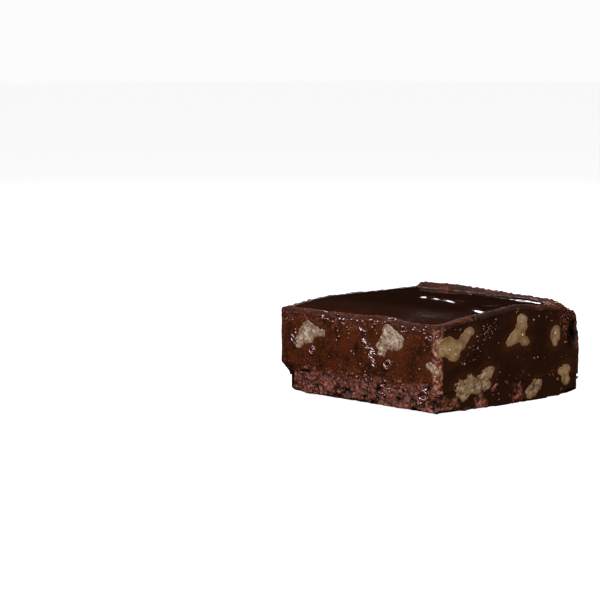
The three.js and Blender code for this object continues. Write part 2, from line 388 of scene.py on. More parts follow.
def from_face(along, out, height, face):
    """The point in the square at a place along a face, a distance out of it and a height."""
    turn, reach = FACES[face]
    far = reach + out
    x = along * math.cos(turn) + far * math.sin(turn)
    y = along * math.sin(turn) - far * math.cos(turn)
    return np.stack([x, y, height], axis=1)


def ridge_height(x, y):
    """Sum of the spatula ridges: a wavering bank along each line, steep in front and about twice as wide
    behind, fading at its ends."""
    total = np.zeros_like(x)
    spots = np.stack([x, y, np.zeros_like(x)], axis=1)
    waver = 0.3 * hills(spots, 3.5, 75)
    uneven = 1.0 + 0.2 * hills(spots, 2.6, 76)
    for x0, y0, x1, y1, height, width in TOP_RIDGES:
        dx, dy = x1 - x0, y1 - y0
        length = math.hypot(dx, dy)
        t = ((x - x0) * dx + (y - y0) * dy) / length**2
        off = ((y - y0) * dx - (x - x0) * dy) / length + waver
        ends = ramp(t, -0.3, 0.2) * ramp(t, 1.3, 0.8)
        total += height * uneven * ends * np.exp(-((off / np.where(off > 0.0, 2.2 * width, width)) ** 2))
    return total


def top_height(x, y):
    """Height of the glossy top: a level, a roll down to the front edge, a rim rising to the back edge
    that dies away to the right, swells, slow waves and spatula ridges."""
    roll = 1.0 - ramp(y, -DEPTH / 2, -DEPTH / 2 + FRONT_ROLL)
    across = np.stack([x, np.zeros_like(x), np.zeros_like(x)], axis=1)
    bank = DEPTH / 2 - y + 0.6 * hills(across, 7.0, 73) + 0.3 * hills(across, 2.5, 74)
    rise = BACK_RISE * ramp(x, 18.0, -12.0) * ramp(bank, BACK_REACH, 1.3)
    height = TOP_HEIGHT - FRONT_SAG * roll + rise
    for sx, sy, lift, reach in TOP_SWELLS:
        height = height + lift * np.exp(-((x - sx) ** 2 + (y - sy) ** 2) / reach**2)
    flat = np.stack([x * 0.4, y, np.zeros_like(x)], axis=1)
    waves = 0.1 * hills(flat, 6.0, 71) + 0.03 * hills(flat, 2.6, 77)
    return height + waves + ridge_height(x, y)


def seam_height(x, y):
    """Height of the line between crumb and fudge: a level with two slow waves."""
    return BASE_HEIGHT + 0.4 * (np.sin(0.33 * x + 0.6) + np.sin(0.41 * y + 1.9))


def rounded_layer(cells, radius, thickness, round_top):
    """A flat box with rounded plan corners, and rounded top edges if asked: plan places, share of the
    height, outward normals, how near each point is to the outside (1 on it), and faces."""
    share, quads = box_skin(cells)
    flat = (share - np.array([0.5, 0.5, 0.0])) * np.array([WIDTH, DEPTH, thickness])
    limit = np.array([WIDTH / 2 - radius, DEPTH / 2 - radius])
    inner = flat.copy()
    inner[:, :2] = np.clip(flat[:, :2], -limit, limit)
    if round_top:
        inner[:, 2] = np.minimum(flat[:, 2], thickness - radius)
    over = flat - inner
    length = np.linalg.norm(over, axis=1)
    size = np.abs(over).max(axis=1)
    safe = np.maximum(length, TINY)[:, None]
    placed = inner + over / safe * size[:, None]
    normal = np.where(length[:, None] > TINY, over / safe, np.array([0.0, 0.0, -1.0]))
    return placed, placed[:, 2] / thickness, normal, size / radius, quads


def squeezed_cap(placed, outer, cap):
    """Plan places, the middle of a hidden cap drawn in so that its border can move in unfolded."""
    factor = 1.0 - CAP_SQUEEZE * (1.0 - np.minimum(outer, 1.0)) * cap
    return placed[:, 0] * factor, placed[:, 1] * factor


def nut_distance(name, along, height):
    """Distance in the face from a nut's outline, below zero inside: its lobes, joined, with a wobble."""
    shape = NUTS[name][0]
    middle, level, roll = NUTS[name][2:]
    angle = math.radians(roll)
    a = (along - middle) * math.cos(angle) + (height - level) * math.sin(angle)
    h = (height - level) * math.cos(angle) - (along - middle) * math.sin(angle)
    total = np.zeros_like(a)
    for lobe_along, lobe_height, radius in NUT_SHAPES[shape]:
        distance = np.hypot((a - lobe_along) / LOBE_WIDTH, h - lobe_height) - radius
        total += np.exp(-LOBE_JOIN * np.minimum(distance, FAR_LOBE))
    joined = -np.log(total) / LOBE_JOIN - NUT_SPREAD
    spots = np.stack([along.ravel(), height.ravel(), np.full(along.size, 7.0 * level)], axis=1)
    grain = 1.0 if shape in GRAINY else 0.5
    ragged = 0.28 * hills(spots, 0.75, 32) + 0.14 * hills(spots, 0.4, 33)
    wobble = 0.2 * hills(spots, 1.6, 31) + grain * ragged
    return joined + wobble.reshape(joined.shape)


def segment_distance(a, h, ends):
    """Distance in a face from a line between two places."""
    a0, h0, a1, h1 = ends
    da, dh = a1 - a0, h1 - h0
    t = np.clip(((a - a0) * da + (h - h0) * dh) / (da * da + dh * dh), 0.0, 1.0)
    return np.hypot(a - a0 - da * t, h - h0 - dh * t)


def face_details(points, normal):
    """Moves and masks for what lies on the cut sides: beds under nuts with a stain round them, burst
    bubbles, wet tears and bites."""
    move = np.zeros(len(points))
    wet = np.zeros(len(points))
    bitten = np.zeros(len(points))
    stained = np.zeros(len(points))
    for face in FACES:
        along, out, height = to_face(points, face)
        turn = FACES[face][0]
        facing = normal[:, 0] * math.sin(turn) - normal[:, 1] * math.cos(turn)
        on = np.flatnonzero((facing > 0.3) & (out > -FACE_SKIN))
        a, h, weight = along[on], height[on], facing[on]
        shift = np.zeros(len(on))
        shine = np.zeros(len(on))
        bite = np.zeros(len(on))
        stain = np.zeros(len(on))
        smear = 0.35 * hills(points[on], 0.9, 55)
        spread = 0.8 * hills(points[on], 2.0, 56)
        for name, nut in NUTS.items():
            if nut[1] == face:
                gap = nut_distance(name, a, h)
                shift -= NUT_BED * ramp(gap + smear, -0.6, -1.2)
                stain = np.maximum(stain, ramp(gap + spread + smear, 1.3, 0.0))
        for where, middle, level, radius in BUBBLES:
            if where == face:
                r = np.hypot(a - middle, h - level) / radius
                shift += radius * (0.34 * np.exp(-(((r - 1.0) / 0.35) ** 2)) - 0.5 * ramp(r, 0.9, 0.2))
                shine = np.maximum(shine, ramp(r, 1.7, 1.1))
        for where, a0, h0, a1, h1, width in TEARS:
            if where == face:
                mask = ramp(segment_distance(a, h, (a0, h0, a1, h1)) / width, 1.5, 0.5)
                shift += mask * (0.3 * billows(points[on], 0.9, 51, 2) - 0.1)
                shine = np.maximum(shine, mask)
        for where, middle, level, wide, tall, depth in BITES:
            if where == face:
                r = np.hypot((a - middle) / wide, (h - level) / tall) + 0.2 * hills(points[on], 1.2, 53)
                shift -= depth * ramp(r, 1.15, 0.7) * (1.0 + 0.35 * billows(points[on], 1.3, 57))
                bite = np.maximum(bite, ramp(r, 1.1, 0.8))
        move[on] += shift * weight
        wet[on] = np.maximum(wet[on], shine)
        bitten[on] = np.maximum(bitten[on], bite)
        stained[on] = np.maximum(stained[on], stain)
    return move, wet, bitten, stained


def slab_zones(p, normal, roof, seam):
    """Shares from 0 to 1 of each kind of surface on the slab, by name: the speckled rim under the top, crumbs
    on the top's edge, the raised back of the top, the crumbly foot, the upright corner edges and the raw near
    one, whose pale flecks are partly painted highlights, the torn far corner, the dull edge of the top,
    reddish crumb on it, the top's dark coat, faded near the front edge by a painted reflection, and grit on
    the two lighter sides."""
    x, y, z = p.T
    up = np.clip(normal[:, 2], 0.0, 1.0)
    side = 1.0 - up
    shade = np.abs(normal[:, 0])
    wander = hills(p, 4.0, 1)
    below, above = roof - z, z - seam
    gap_x, gap_y = WIDTH / 2 - np.abs(x), DEPTH / 2 - np.abs(y)
    inward = np.minimum(gap_x, gap_y)
    near = (x > 0) & (y < 0)
    spots = ramp(hills(p, 2.4, 9) + 0.3 * hills(p, 0.9, 10), 0.0, 0.45)
    far = np.linalg.norm(p - TORN_CORNER, axis=1)
    foot = ramp(above + wander * ramp(above, 0.0, 1.5), 2.4, 0.3)
    ends = np.maximum(ramp(below, 7.0, 1.5), ramp(above, 5.5, 1.0))
    zones = {
        "rim": side * (1.0 - 0.8 * shade) * ramp(below + 0.9 * wander, 3.2, 0.8),
        "lip": spots * ramp(inward + 0.3 * wander, 1.1, 0.4) * ramp(below, 1.4, 0.4),
        "back": up * ramp(DEPTH / 2 - y + wander, 4.4, 2.8),
        "toe": side * (1.0 - shade * (1.0 - patch_share(p))) * foot,
        "upright": side * ramp(np.hypot(gap_x, gap_y) + 0.4 * wander, 2.0, 0.8) * np.where(near, 1.0, 0.4),
        "torn": ramp(far + 1.8 * wander, 12.0, 7.0),
        "edge": ramp(inward, 1.9, 0.9) * ramp(below, 1.6, 0.6),
        "grit": side * (1.0 - shade) * (0.4 + 0.6 * ends),
        # the top's dark colour, faded near the front edge where a reflection of a neighbouring piece is
        # painted in
        "glaze_and_reflection": up * (1.0 - 0.6 * ramp(y + DEPTH / 2 + 2.0 * wander, 7.0, 0.0)),
    }
    # the near corner edge, whose pale flecks are partly pale crumb and partly painted highlights
    zones["raw"] = zones["upright"] * near
    zones["red"] = np.maximum(zones["back"], 0.6 * zones["edge"]) * (0.3 + 0.6 * spots)
    return zones


def greatest(zones, weights):
    """The greatest of some zones at each point, each with its weight."""
    return np.max([weight * zones[name] for name, weight in weights.items()], axis=0)


def fudge_skin():
    """The slab: a rounded box stretched between the seam and the top, moved along its normals by grain at
    its rims, torn lumps along its back and at one corner, crumb at its foot, slow waves, and the details
    of each face."""
    cells = FUDGE_CELLS
    placed, share, normal, outer, quads = rounded_layer(cells, EDGE_RADIUS, TOP_HEIGHT - BASE_HEIGHT, True)
    cap = share < CAP_MARGIN
    x, y = squeezed_cap(placed, outer, cap)
    seam, roof = seam_height(x, y), top_height(x, y)
    floor = seam - SEAM_OVERLAP
    p = np.stack([x, y, floor + share * (roof - floor)], axis=1)
    up = np.clip(normal[:, 2], 0.0, 1.0)
    zones = slab_zones(p, normal, roof, seam)
    crumb = greatest(zones, {"rim": 1.0, "lip": 1.0, "back": 1.0, "toe": 1.0, "upright": 1.0, "torn": 1.0})
    lumpy = greatest(zones, {"back": 0.45, "torn": 0.8, "upright": 0.6})
    broken, hollow_shade = crumble(p)
    fine = billows(p, 0.9, 5, 2)
    coarse = billows(p * np.array([0.5, 1.0, 1.0]), 1.7, 8)
    drag = hills(p * np.array([1.0, 1.0, 0.12]), 0.9, 13)
    details, wet, bitten, stained = face_details(p, normal)
    grain = 0.16 * zones["rim"] + 0.1 * zones["lip"] + 0.16 * zones["edge"] + 0.14 * zones["back"]
    move = grain * fine + 0.45 * lumpy * coarse + zones["toe"] * broken
    move += (1.0 - crumb) * (1.0 - up) * (0.06 * hills(p, 5.0, 17) + 0.02 * drag)
    move += 0.07 * zones["grit"] * hills(p, 0.7, 19)
    move += details - chip_depth(x, y) * ramp(p[:, 2] - seam, 3.0, 0.0) - corner_pull(p)
    dull = zones["edge"] * (1.3 - 1.2 * ramp(hills(p, 2.6, 11), 0.5, 0.7))
    rough = {"rim": 0.15, "lip": 0.1, "back": 1.1, "toe": 0.7, "upright": 0.4, "torn": 0.3}
    pale = {"rim": 0.18, "lip": 0.6, "red": 1.0, "toe": 1.0, "upright": 1.0, "torn": 0.45}
    # Cracks between lumps and creases in the rim, painted dark as shade below
    cracks = ramp(coarse, -0.3, -0.8) * lumpy
    creases = 0.7 * ramp(fine, -0.3, -0.8) * zones["rim"]
    marks = {
        "matte": np.max([greatest(zones, rough), dull, bitten], axis=0),
        "pale": greatest(zones, pale),
        # painted shade in crumb gaps, cracks, creases and bites
        "hollow_shade": np.max([hollow_shade * zones["toe"], cracks, creases, bitten], axis=0),
        "top": zones["glaze_and_reflection"],
        "grit": zones["grit"],
        "raw": zones["raw"],
        "gloss": up,
        # the two darker sides, where shade is painted into the colour
        "shade": np.abs(normal[:, 0]),
        "drag": drag,
        "wet": wet,
        "stain": stained,
        "cap": 1.0 * cap,
    }
    return p + normal * (move * outer)[:, None], quads, marks


def corner_pull(points):
    """How far the torn top corner has fallen in."""
    far = np.linalg.norm(points - TORN_CORNER, axis=1)
    return CORNER_DEPTH * np.exp(-((far / CORNER_REACH) ** 2))


def chip_depth(x, y):
    """How far the crumbled corner of the base has fallen in."""
    return CHIP_DEPTH * np.exp(-((x + WIDTH / 2) ** 2 + (y + DEPTH / 2) ** 2) / CHIP_REACH**2)


def patch_share(points):
    """Share of reddish crumb on the two darker sides: 1 in the middle of each patch, fading round it."""
    total = np.zeros(len(points))
    uneven = 0.9 * hills(points, 2.2, 47) + 0.6 * hills(points, 0.9, 52)
    for face, middle, width in CRUMB_PATCHES:
        along, out, height = to_face(points, face)
        r = np.hypot((along - middle) / width, (height - 1.0) / 2.2) + uneven
        total = np.maximum(total, ramp(r, 1.35, 0.6) * (out > -4.0))
    return total


def nibbled_edge(x, y, shade):
    """How far the base's lower edge lies above the floor: uneven, more in the middle of the front and at
    the far corner, and least along the middle of the two darker sides."""
    plan = np.stack([x, y, np.zeros_like(x)], axis=1)
    nibble = 0.55 + 0.5 * hills(plan, 3.0, 41)
    nibble += 0.5 * np.exp(-(((x + 4.0) / 14.0) ** 2)) * (y < 0)
    nibble *= 1.0 - 0.9 * shade * np.exp(-(((y - 2.0) / 16.0) ** 4))
    nibble += 0.9 * np.exp(-((x - WIDTH / 2) ** 2 + (y - DEPTH / 2) ** 2) / 30.0)
    nibble += 0.3 * hills(plan, 1.2, 48)
    edge = np.minimum(WIDTH / 2 - np.abs(x), DEPTH / 2 - np.abs(y))
    return np.clip(nibble, 0.0, 1.6) * ramp(edge, 1.8, 0.0)


def base_skin():
    """The crumb layer: a box with a nibbled lower edge, its sides moved in and out by broken crumb, one
    corner fallen in, and a bed under each nut. Away from the reddish patches its darker sides follow the
    slab's waves."""
    cells = BASE_CELLS
    placed, share, normal, outer, quads = rounded_layer(cells, BASE_CORNER_RADIUS, 1.0, False)
    cap = (share < CAP_MARGIN) | (share > 1.0 - CAP_MARGIN)
    x, y = squeezed_cap(placed, outer, cap)
    roof = seam_height(x, y) + SEAM_OVERLAP
    low = nibbled_edge(x, y, np.abs(normal[:, 0]))
    p = np.stack([x, y, low + share * (roof - low)], axis=1)
    broken, hollow_shade = crumble(p)
    # Where the two darker sides are painted with shade, lifted in the reddish patches
    shade = np.abs(normal[:, 0]) * (1.0 - patch_share(p))
    move = broken * (1.0 - 0.95 * shade) - chip_depth(x, y)
    move += shade * (0.06 * hills(p, 5.0, 17) - 0.01)
    for name, nut in NUTS.items():
        along, out, height = to_face(p, nut[1])
        move -= NUT_BED * ramp(nut_distance(name, along, height), -0.5, -0.9) * (out > -FACE_SKIN)
    p = p + normal * np.array([1.0, 1.0, 0.0]) * (move * outer)[:, None]
    number = 0.5 + 0.35 * hills(p, 2.6, 45) + 0.35 * hills(p, 7.0, 42)
    marks = {
        # painted shade in the crumb's gaps, weaker on the darker sides
        "hollow_shade": hollow_shade * (1.0 - 0.6 * shade),
        "number": np.clip(number, 0.0, 1.0),
        "shade": shade,
        "cap": 1.0 * cap,
    }
    return p, quads, marks


def grown(keep, start):
    """The cells of a yes-or-no grid that hang together with the cell `start`, corner contacts filled in."""
    reached = np.zeros_like(keep)
    reached[start] = True
    count = 0
    while reached.sum() != count:
        count = reached.sum()
        wide = reached.copy()
        wide[1:] |= reached[:-1]
        wide[:-1] |= reached[1:]
        wide[:, 1:] |= reached[:, :-1]
        wide[:, :-1] |= reached[:, 1:]
        reached = wide & keep
    fill = reached[:-1, :-1] & reached[1:, 1:] & ~reached[1:, :-1] & ~reached[:-1, 1:]
    fill |= reached[1:, :-1] & reached[:-1, 1:] & ~reached[:-1, :-1] & ~reached[1:, 1:]
    reached[1:, :-1] |= fill
    reached[:-1, :-1] |= fill
    return reached


def nut_patch(name, pitch):
    """Grid over a nut's outline in its face: places along and up, four-sided cells, and which places are
    its border. Border places are pulled onto the outline along the slope of its distance."""
    middle, level = NUTS[name][2:4]
    steps = np.arange(-NUT_REACH, NUT_REACH + pitch, pitch)
    along, height = np.meshgrid(middle + steps, level + steps, indexing="ij")
    gap = nut_distance(name, along, height)
    cell_gap = (gap[:-1, :-1] + gap[1:, :-1] + gap[1:, 1:] + gap[:-1, 1:]) / 4
    keep = grown(cell_gap < 0.0, np.unravel_index(cell_gap.argmin(), cell_gap.shape))
    i, j = np.nonzero(keep)
    row = len(steps)
    corners = np.stack([i * row + j, (i + 1) * row + j, (i + 1) * row + j + 1, i * row + j + 1], axis=1)
    used, cells = np.unique(corners, return_inverse=True)
    cells = cells.reshape(-1, 4)
    border = np.bincount(cells.ravel(), minlength=len(used)) < 4
    a, h = along.ravel()[used], height.ravel()[used]
    for _ in range(BORDER_PULLS):
        here = nut_distance(name, a, h)
        slope_a = (nut_distance(name, a + SLOPE_STEP, h) - here) / SLOPE_STEP
        slope_h = (nut_distance(name, a, h + SLOPE_STEP) - here) / SLOPE_STEP
        step = np.where(border, here / np.maximum(slope_a**2 + slope_h**2, 0.25), 0.0)
        step = np.clip(step, -0.6 * pitch, 0.6 * pitch)
        a, h = a - step * slope_a, h - step * slope_h
    return a, h, cells, border


def nut_skin(name):
    """A walnut piece: a grid over its outline, domed, grained and sometimes pitted in front, rounded off
    behind, closed at its border. Its front rises from below the fudge's surface at the border to just
    proud of it."""
    shape, face = NUTS[name][:2]
    level = NUTS[name][3]
    a, h, cells, border = nut_patch(name, NUT_PITCH)
    inner = np.where(border, 0.0, np.maximum(-nut_distance(name, a, h), 0.0))
    spots = np.stack([a, h, np.full(len(a), 3.0 * level)], axis=1)
    grain = 1.0 if shape in GRAINY else 0.25
    pitted = 1.0 * (shape in PITTED)
    large, small = ramp(hills(spots, 1.0, 66), 0.42, 0.72), ramp(hills(spots, 0.6, 62), 0.36, 0.6)
    pit = pitted * np.maximum(large, small)
    folds = billows(spots, 1.3, 64, 2)
    relief = 0.12 * hills(spots, 2.2, 68) + grain * (0.14 * folds + 0.05 * hills(spots, 0.5, 69)) - 0.25 * pit
    front = NUT_EDGE + (NUT_PROUD - NUT_EDGE) * ramp(inner, 0.0, 0.6) + relief * ramp(inner, 0.3, 0.9)
    behind = NUT_EDGE - NUT_DEPTH * np.sqrt(1.0 - (1.0 - np.minimum(inner / 1.8, 1.0)) ** 2)
    limit = FACE_LENGTHS[face] / 2 - NUT_INSET
    a, h = np.clip(a, -limit, limit), np.maximum(h, NUT_INSET)
    back_number = np.where(border, np.arange(len(a)), len(a) + np.cumsum(~border) - 1)
    points = np.concatenate([from_face(a, front, h, face), from_face(a, behind, h, face)[~border]])
    faces = np.concatenate([cells, back_number[cells][:, ::-1]])
    patches = ramp(hills(spots, 1.6, 61), 0.1, 0.6)
    marks = {
        "rind": ramp(inner + 0.35 * hills(spots, 1.1, 65) + 0.3 * hills(spots, 3.0, 63), 1.45, 0.5),
        "fold": ramp(folds, 0.0, -0.7) * grain,
        "pit": pit,
        "number": 0.5 + 0.5 * hills(spots, 1.8, 67),
        # Grained flesh with a painted sheen: all of each front and back nut; on the darker sides only pitted
        # nuts and patches
        "dry_and_sheen": np.maximum(0.42 * pitted, 0.4 * patches) if face in DARK_SIDES else np.ones(len(a)),
    }
    return points, faces, {key: np.concatenate([value, value[~border]]) for key, value in marks.items()}


def unit(vectors):
    """Directions of length 1."""
    return vectors / np.linalg.norm(vectors, axis=1)[:, None]


def blobs(centres, radii, axes, stretch, seed):
    """Many small uneven lumps as one mesh: a ball for each centre, its radius changed by hills, then
    drawn out along its axis by its stretch, or flattened if that is below zero. Also the lump's number at
    each point."""
    share, quads = box_skin((LUMP_CELLS, LUMP_CELLS, LUMP_CELLS))
    ball = unit(share - 0.5)
    count, corners = len(centres), len(ball)
    ids = np.repeat(np.arange(count), corners)
    out = np.tile(ball, (count, 1))
    spots = out * 1.1 + centres[ids] * 5.0
    swell = 1.0 + 0.6 * hills(spots, 0.9, seed) + 0.2 * hills(spots, 0.4, seed + 1)
    offset = out * (radii[ids] * swell)[:, None]
    along = (offset * axes[ids]).sum(axis=1) * stretch[ids]
    offset += axes[ids] * along[:, None]
    faces = quads[None, :, :] + (np.arange(count) * corners)[:, None, None]
    return centres[ids] + offset, faces.reshape(-1, 4), ids


def blob_numbers(ids, seed):
    """A random number from 0 to 1 for each lump, the same at all of its points."""
    return hashed(np.stack([ids, ids * 0, ids * 0], axis=1), seed)


def outward(points):
    """The unit direction out of the nearest cut side."""
    gap = np.array([WIDTH, DEPTH, np.inf]) / 2 - np.abs(points)
    return np.where(gap == gap.min(axis=1)[:, None], np.sign(points), 0.0)


def on_dark_side(points, depth):
    """True for points less than `depth` behind one of the two darker sides."""
    return np.abs(points[:, 0]) > WIDTH / 2 - depth


def leaning_axes(rng, points):
    """Random unit directions that look out of the nearest side and lean upwards."""
    return unit(outward(points) + np.array([0.0, 0.0, 0.45]) + 0.4 * rng.normal(size=(len(points), 3)))


def side_places(rng, count, low, high, out_low, out_high):
    """Random places on the four cut sides between two heights and two distances out of the face."""
    each = count // len(FACE_LENGTHS)
    places = []
    for face, length in FACE_LENGTHS.items():
        along = rng.uniform(-length / 2 + 1.0, length / 2 - 1.0, each)
        out = rng.uniform(out_low, out_high, each)
        height = rng.uniform(low, high, each)
        places.append(from_face(along, out, height, face))
    return np.concatenate(places)


def outside_nuts(points, margin):
    """True for points on the sides that lie clear of every nut."""
    clear = np.ones(len(points), bool)
    for name, nut in NUTS.items():
        along, out, height = to_face(points, nut[1])
        clear &= (out < -FACE_BAND) | (nut_distance(name, along, height) > margin)
    return clear


def cluster(rng, face, along, height, spread, count):
    """Random places bunched round a place on a face, at or just under its surface."""
    a = along + spread * rng.normal(size=count)
    h = height + spread * rng.normal(size=count)
    return from_face(a, rng.uniform(-SPECK_SINK, 0.0, count), h, face)


def outside_bites(points):
    """True for points that don't hang over a bite."""
    clear = np.ones(len(points), bool)
    for face, middle, level, wide, tall, _ in BITES:
        along, out, height = to_face(points, face)
        clear &= (out < -FACE_BAND) | (np.hypot((along - middle) / wide, (height - level) / tall) > 1.1)
    return clear


def base_crumbs():
    """Loose crumbs on the base's sides and along its seam, few on the darker sides but for bunches."""
    rng = np.random.default_rng(CRUMB_SEED)
    band = side_places(rng, BAND_CRUMBS, 0.7, BASE_HEIGHT + 0.2, -0.75, -0.05)
    seam = side_places(rng, SEAM_CRUMBS, BASE_HEIGHT - 0.4, BASE_HEIGHT + 1.8, -0.3, 0.0)
    bunches = [cluster(rng, *one) for one in CRUMB_CLUSTERS]
    centres = np.concatenate([band, seam, *bunches])
    bunched = np.arange(len(centres)) >= len(band) + len(seam)
    off_chip = np.hypot(centres[:, 0] + WIDTH / 2, centres[:, 1] + DEPTH / 2) > 5.0
    lucky = rng.random(len(centres)) < 0.12 + patch_share(centres)
    shown = ~on_dark_side(centres, 0.8) | bunched | lucky
    kept = off_chip & shown & outside_nuts(centres, 0.1) & outside_bites(centres)
    centres, bunched = centres[kept], bunched[kept]
    centres -= outward(centres) * chip_depth(centres[:, 0], centres[:, 1])[:, None]
    radii = 0.14 + 0.4 * rng.random(len(centres)) ** 2.5
    centres[:, 2] = np.maximum(centres[:, 2], radii * 1.3)
    axes = leaning_axes(rng, centres)
    points, faces, ids = blobs(centres, radii, axes, rng.uniform(-0.3, 0.8, len(centres)), 81)
    points[:, 2] = np.maximum(points[:, 2], 0.02)
    # Painted shade on loose crumbs along the darker sides, outside the bunches and patches
    shade = 0.6 * on_dark_side(points, 0.9) * (1.0 - patch_share(points)) * ~bunched[ids]
    return points, faces, {"hollow_shade": np.zeros(len(ids)), "number": blob_numbers(ids, 5), "shade": shade}


def face_direction(along, height, face):
    """The direction in the square of a step along a face and up it."""
    turn = FACES[face][0]
    return np.stack([along * math.cos(turn), along * math.sin(turn), height], axis=1)


def wet_scraps(rng):
    """Larger wet scraps, as places, radii and the ways they are drawn out: in a row along each tear, and
    in a ring round each bubble."""
    centres, radii, axes = [], [], []
    for face, a0, h0, a1, h1, width in TEARS:
        length = math.hypot(a1 - a0, h1 - h0)
        count = int(4 + 3 * length)
        t = rng.random(count)
        a = a0 + (a1 - a0) * t + 0.35 * width * rng.normal(size=count)
        h = h0 + (h1 - h0) * t + 0.35 * width * rng.normal(size=count)
        centres.append(from_face(a, rng.uniform(-0.2, 0.0, count), h, face))
        radii.append(0.26 + 0.28 * rng.random(count))
        lean = 0.3 * rng.normal(size=(2, count))
        axes.append(face_direction((a1 - a0) / length + lean[0], (h1 - h0) / length + lean[1], face))
    spokes = np.arange(BUBBLE_BEADS) * (2 * math.pi / BUBBLE_BEADS)
    for face, middle, level, radius in BUBBLES:
        angle = rng.uniform(0.0, 2 * math.pi) + spokes
        axes.append(face_direction(-np.sin(angle), np.cos(angle), face))
        a = middle + radius * np.cos(angle)
        h = level + radius * np.sin(angle)
        centres.append(from_face(a, np.full(BUBBLE_BEADS, -0.02), h, face))
        radii.append(radius * rng.uniform(0.32, 0.46, BUBBLE_BEADS))
    return np.concatenate(centres), np.concatenate(radii), unit(np.concatenate(axes))


def speck_places(rng):
    """Places of wet specks: the clusters, in the rims and over the cut sides, the raised back of the top,
    and the near corner edge; none in the nuts, over the bites or beside the chip."""
    places = [cluster(rng, *one) for one in SPECKS]
    for face, in_rim, elsewhere in SIDE_SPECKS:
        half = FACE_LENGTHS[face] / 2 - 1.2
        count = in_rim + elsewhere
        along = rng.uniform(-half, half, count)
        spots = from_face(along, rng.uniform(-SPECK_SINK, 0.0, count), np.zeros(count), face)
        low = rng.uniform(BASE_HEIGHT, TOP_HEIGHT - 2.5, count)
        high = top_height(spots[:, 0], spots[:, 1]) - 0.9 - 2.6 * rng.random(count) ** 1.5
        spots[:, 2] = np.where(np.arange(count) < in_rim, high, low)
        places.append(spots)
    back_x = rng.uniform(-WIDTH / 2 + 1.5, WIDTH / 2 - 1.5, BACK_SPECKS)
    back_y = DEPTH / 2 - 0.9 - 6.0 * rng.random(BACK_SPECKS) ** 1.5
    back_z = top_height(back_x, back_y) + rng.uniform(-0.3, -0.15, BACK_SPECKS)
    near_x = rng.uniform(WIDTH / 2 - 1.1, WIDTH / 2 - 0.3, CORNER_SPECKS)
    near_y = -rng.uniform(DEPTH / 2 - 1.1, DEPTH / 2 - 0.3, CORNER_SPECKS)
    near_z = rng.uniform(4.0, 19.0, CORNER_SPECKS)
    places.append(np.stack([back_x, back_y, back_z], axis=1))
    places.append(np.stack([near_x, near_y, near_z], axis=1))
    places = np.concatenate(places)
    inside = (np.abs(places[:, :2]) < np.array([WIDTH, DEPTH]) / 2 + 0.02).all(axis=1)
    inside &= places[:, 2] < top_height(places[:, 0], places[:, 1]) - 0.06
    inside &= (chip_depth(places[:, 0], places[:, 1]) < 0.4) | (places[:, 2] > 9.0)
    places = places[inside & outside_nuts(places, 0.1) & outside_bites(places)]
    return places - outward(places) * corner_pull(places)[:, None]


def oil_beads():
    """Places of the oil beads, and the ways they lean: out of the face, up and to its near end."""
    places, axes = [], []
    for face, along, height in OIL_BEADS:
        places.append(from_face(np.array([along]), 0.08, np.array([height]), face))
        turn = FACES[face][0]
        out = np.array([[math.sin(turn), -math.cos(turn), 0.0]])
        axes.append(out + face_direction(np.array([-OIL_LEAN]), np.array([OIL_LEAN]), face))
    return np.concatenate(places), unit(np.concatenate(axes))


def fudge_beads():
    """Small wet beads and scraps of fudge half sunk in the slab, and flat beads of oil on the nuts."""
    rng = np.random.default_rng(SPECK_SEED)
    specks = speck_places(rng)
    sizes = 0.12 + 0.4 * rng.random(len(specks)) ** 3.0
    sizes = np.where(on_dark_side(specks, 0.5), np.minimum(1.15 * sizes, 0.42), sizes)
    scraps, scrap_sizes, drawn = wet_scraps(np.random.default_rng(SCRAP_SEED))
    oily, leaning = oil_beads()
    centres = np.concatenate([specks, scraps, oily])
    axes = np.concatenate([leaning_axes(rng, specks), drawn, leaning])
    radii = np.concatenate([sizes, scrap_sizes, np.full(len(oily), OIL_RADIUS)])
    flat = rng.uniform(-0.7, -0.3, len(specks))
    long = rng.uniform(0.6, 2.2, len(scraps))
    stretch = np.concatenate([flat, long, np.full(len(oily), OIL_STRETCH)])
    points, faces, ids = blobs(centres, radii, axes, stretch, 91)
    oil = 1.0 * (ids >= len(specks) + len(scraps))
    # Painted shade: beads on the darker sides take darker colours, and the larger scraps there darker still
    shade = 1.0 * on_dark_side(centres, 0.5)[ids]
    number = blob_numbers(ids, 6) * (1.0 - 0.6 * shade * (ids >= len(specks)))
    return points, faces, {"number": number, "shade": shade * (1.0 - oil), "oil": oil}


def make_piece(name, skin, material, node):
    """One mesh object at the origin, in metres, from a skin's points, faces and attributes; it rides on
    the body and stands for its node. Its faces are shaded smooth, apart from its flat caps."""
    points, faces, attributes = skin
    mesh = bpy.data.meshes.new(name)
    mesh.from_pydata((points * MM).tolist(), [], faces.tolist())
    for key, values in attributes.items():
        layer = mesh.attributes.new(key, "FLOAT", "POINT")
        layer.data.foreach_set("value", np.ascontiguousarray(values, dtype=np.float32))
    on_cap = attributes["cap"][faces].all(axis=1) if "cap" in attributes else np.zeros(len(faces), bool)
    mesh.polygons.foreach_set("use_smooth", ~on_cap)
    mesh.materials.append(material)
    mesh.update()
    piece = bpy.data.objects.new(name, mesh)
    bpy.context.scene.collection.objects.link(piece)
    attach(piece, "root")
    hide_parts(node)


def linear(red, green, blue):
    """A colour given as eight-bit screen values, as linear light."""
    values = np.array([red, green, blue]) / 255.0
    light = np.where(values <= 0.04045, values / 12.92, ((values + 0.055) / 1.055) ** 2.4)
    return (*light.tolist(), 1.0)


# Colours of the fudge: its cut sides, a darker copy for the two darker sides that is painted shade, the top,
# and the crumbly stretches
SIDE_DARK = linear(38, 16, 7)
SIDE_LIGHT = linear(74, 31, 10)
SIDE_STREAK = linear(82, 37, 14)
SIDE_STAIN = linear(74, 37, 14)
